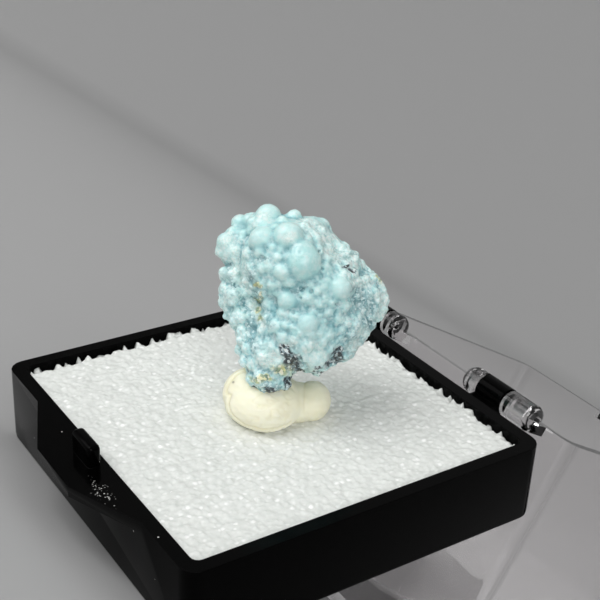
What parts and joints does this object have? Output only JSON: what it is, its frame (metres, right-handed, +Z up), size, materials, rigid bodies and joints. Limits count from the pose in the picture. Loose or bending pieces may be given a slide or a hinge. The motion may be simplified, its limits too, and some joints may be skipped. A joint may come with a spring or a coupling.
{
  "type": "gibbsite specimen in a hinged display box",
  "caption": "Sky-blue botryoidal gibbsite specimen held by putty on white foam in a small black tray, its clear hinged lid folded right back as a stand.",
  "frame": {"origin": "middle of the ground under the open box, at the bottom centre of its bounding box", "axes": "+X along the hinge, to the right as seen from the clasp side; +Y from the clasp side to the folded lid; +Z up"},
  "size_m": [0.036, 0.0744, 0.0339],
  "materials": {
    "blue_gibbsite": "satin",
    "cream_putty": "matte",
    "white_foam": "matte",
    "black_styrene": "gloss",
    "clear_styrene": "gloss"
  },
  "bodies": {
    "base": {"tray": "black_styrene", "foam_pad": "white_foam", "mineral_tack": "cream_putty", "gibbsite": "blue_gibbsite"},
    "folding_lid": {"lid": "clear_styrene"}
  },
  "joints": [
    {"name": "lid_hinge", "type": "hinge", "parent": "base", "child": "folding_lid", "pos_m": [0, -0.00355, 0.02797], "axis": [-1, 0, 0], "range_deg": [-210, 0]}
  ]
}
